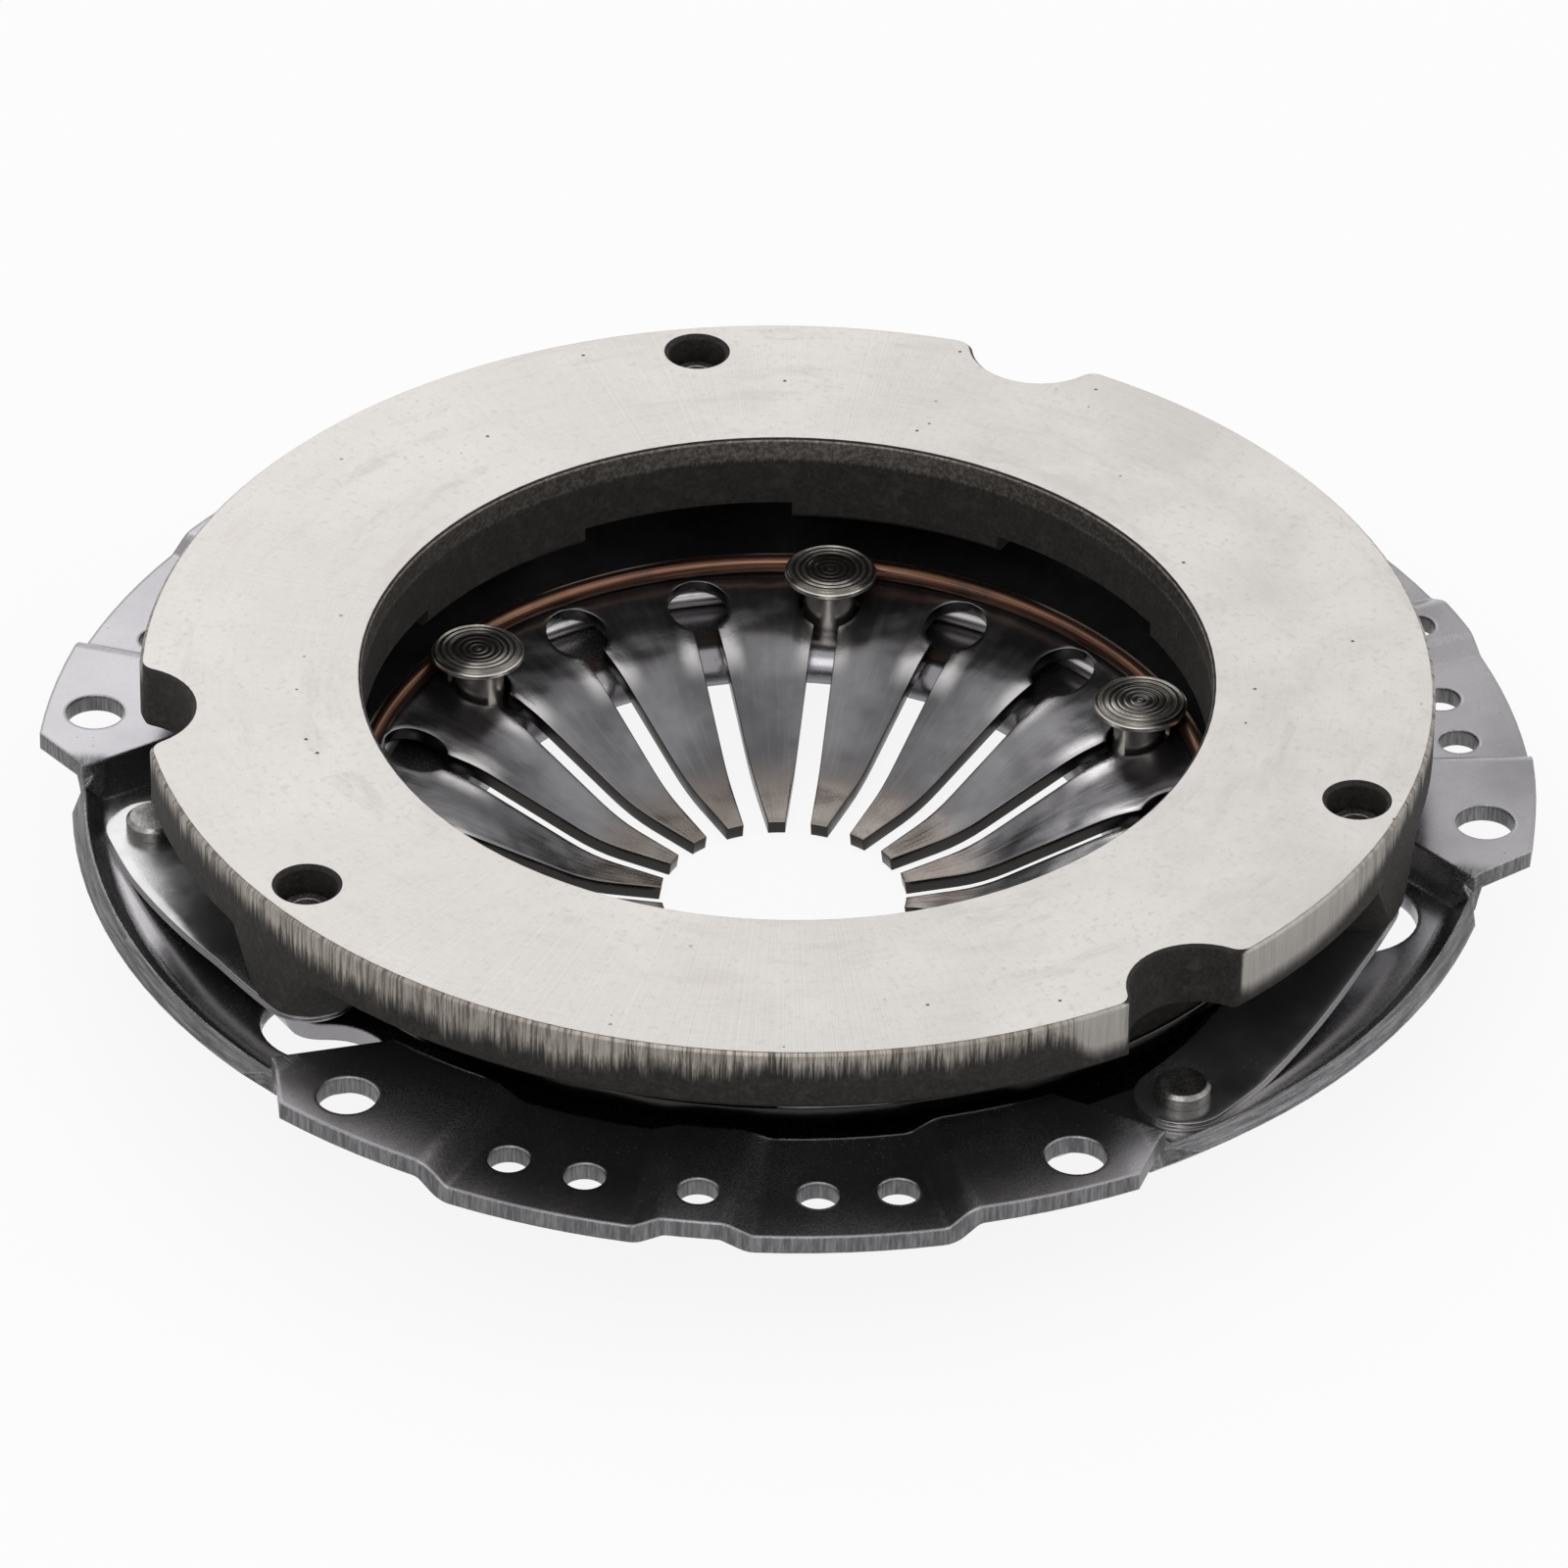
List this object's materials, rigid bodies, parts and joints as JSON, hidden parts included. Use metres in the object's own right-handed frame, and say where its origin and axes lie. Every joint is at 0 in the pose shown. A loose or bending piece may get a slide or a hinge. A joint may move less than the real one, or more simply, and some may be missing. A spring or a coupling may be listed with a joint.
{
  "type": "clutch pressure plate",
  "caption": "Clutch pressure plate: pressed cover with stepped bolt flange, cast ring with friction face, diaphragm spring with slotted fingers, fulcrum rings, rivets and drive straps.",
  "frame": {"origin": "centre of the flywheel bolt circle, on the face of the bolt lands that meets the flywheel", "axes": "+Z along the clutch axis towards the flywheel, +X through the middle of one flange segment"},
  "size_m": [0.2203, 0.2258, 0.043],
  "materials": {
    "cover_steel": "satin black phosphate on pressed sheet steel",
    "cast_iron": "ground friction face, turned bore and rim over rough casting",
    "spring_steel": "hardened, dark and slightly cloudy",
    "ring_wire": "drawn hard wire",
    "strap_steel": "bluish spring strip",
    "spacer_steel": "turned, with fine rings on the head",
    "rivet_steel": "bright, formed by the riveting tool"
  },
  "bodies": {
    "cover": {"cover": "cover_steel", "diaphragm_spring": "spring_steel", "fulcrum_ring_upper": "ring_wire", "fulcrum_ring_lower": "ring_wire", "spacer_rivet_1": "spacer_steel", "spacer_rivet_2": "spacer_steel", "spacer_rivet_3": "spacer_steel", "spacer_rivet_4": "spacer_steel", "spacer_rivet_5": "spacer_steel", "spacer_rivet_6": "spacer_steel", "cover_strap_rivet_1": "rivet_steel", "cover_strap_rivet_2": "rivet_steel", "cover_strap_rivet_3": "rivet_steel", "drive_strap_1_lower": "strap_steel", "drive_strap_1_upper": "strap_steel", "drive_strap_2_lower": "strap_steel", "drive_strap_2_upper": "strap_steel", "drive_strap_3_lower": "strap_steel", "drive_strap_3_upper": "strap_steel"},
    "pressure_plate": {"pressure_plate": "cast_iron", "plate_strap_rivet_1": "rivet_steel", "plate_strap_rivet_2": "rivet_steel", "plate_strap_rivet_3": "rivet_steel"}
  },
  "joints": [
    {"name": "plate_slide", "type": "slide", "parent": "cover", "child": "pressure_plate", "axis": [0, 0, 1], "range_m": [-0.0042, 0], "stiffness_N_per_m": 120000, "springref_m": 0.001, "deforming": ["diaphragm_spring", "drive_strap_1_lower", "drive_strap_1_upper", "drive_strap_2_lower", "drive_strap_2_upper", "drive_strap_3_lower", "drive_strap_3_upper"]}
  ]
}
